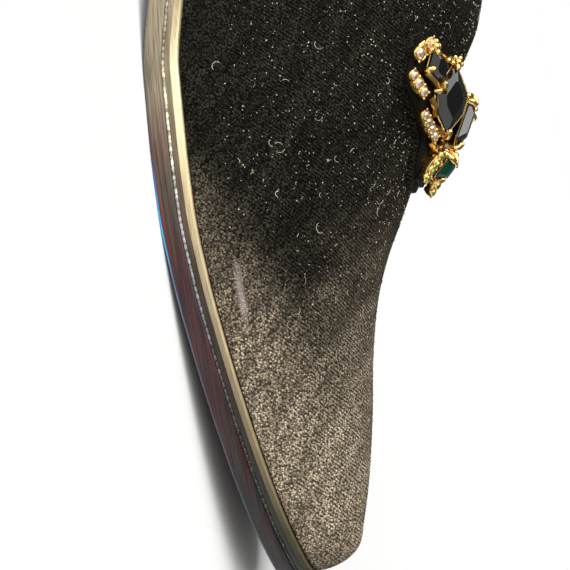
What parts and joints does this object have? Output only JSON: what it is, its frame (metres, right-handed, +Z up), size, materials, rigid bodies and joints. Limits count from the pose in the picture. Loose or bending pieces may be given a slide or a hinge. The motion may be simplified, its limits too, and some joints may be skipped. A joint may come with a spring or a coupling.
{
  "type": "velvet slipper loafer",
  "caption": "Pointed velvet slipper loafer for the right foot, open collar, low stacked heel, layered leather sole and a stone cluster on the vamp.",
  "frame": {"origin": "middle of the footprint's box, on the floor", "axes": "+X to the toe, +Y to the inner side of the foot, +Z up"},
  "size_m": [0.2648, 0.0828, 0.082],
  "materials": {
    "velvet": "short pile velvet",
    "ribbon": "ribbed ribbon",
    "edge_leather": "burnished and glossy",
    "midsole_leather": "wheeled and burnished",
    "lift_rubber": "matt",
    "sock_leather": "smooth",
    "pad_leather": "matt backing",
    "gilt_metal": "gold-coloured, polished",
    "black_glass": "faceted and polished"
  },
  "bodies": {
    "root": {"heel_top_piece": "lift_rubber", "heel_block": "edge_leather", "outsole": "edge_leather", "midsole": "midsole_leather", "insole": "sock_leather", "upper": "velvet", "collar_binding": "ribbon", "ornament_pad": "pad_leather", "ornament_casting": "gilt_metal", "centre_baguette": "black_glass", "toe_stone": "black_glass", "large_kite_outer": "black_glass", "large_kite_inner": "black_glass", "small_kite_outer": "black_glass", "small_kite_inner": "black_glass"}
  },
  "joints": []
}
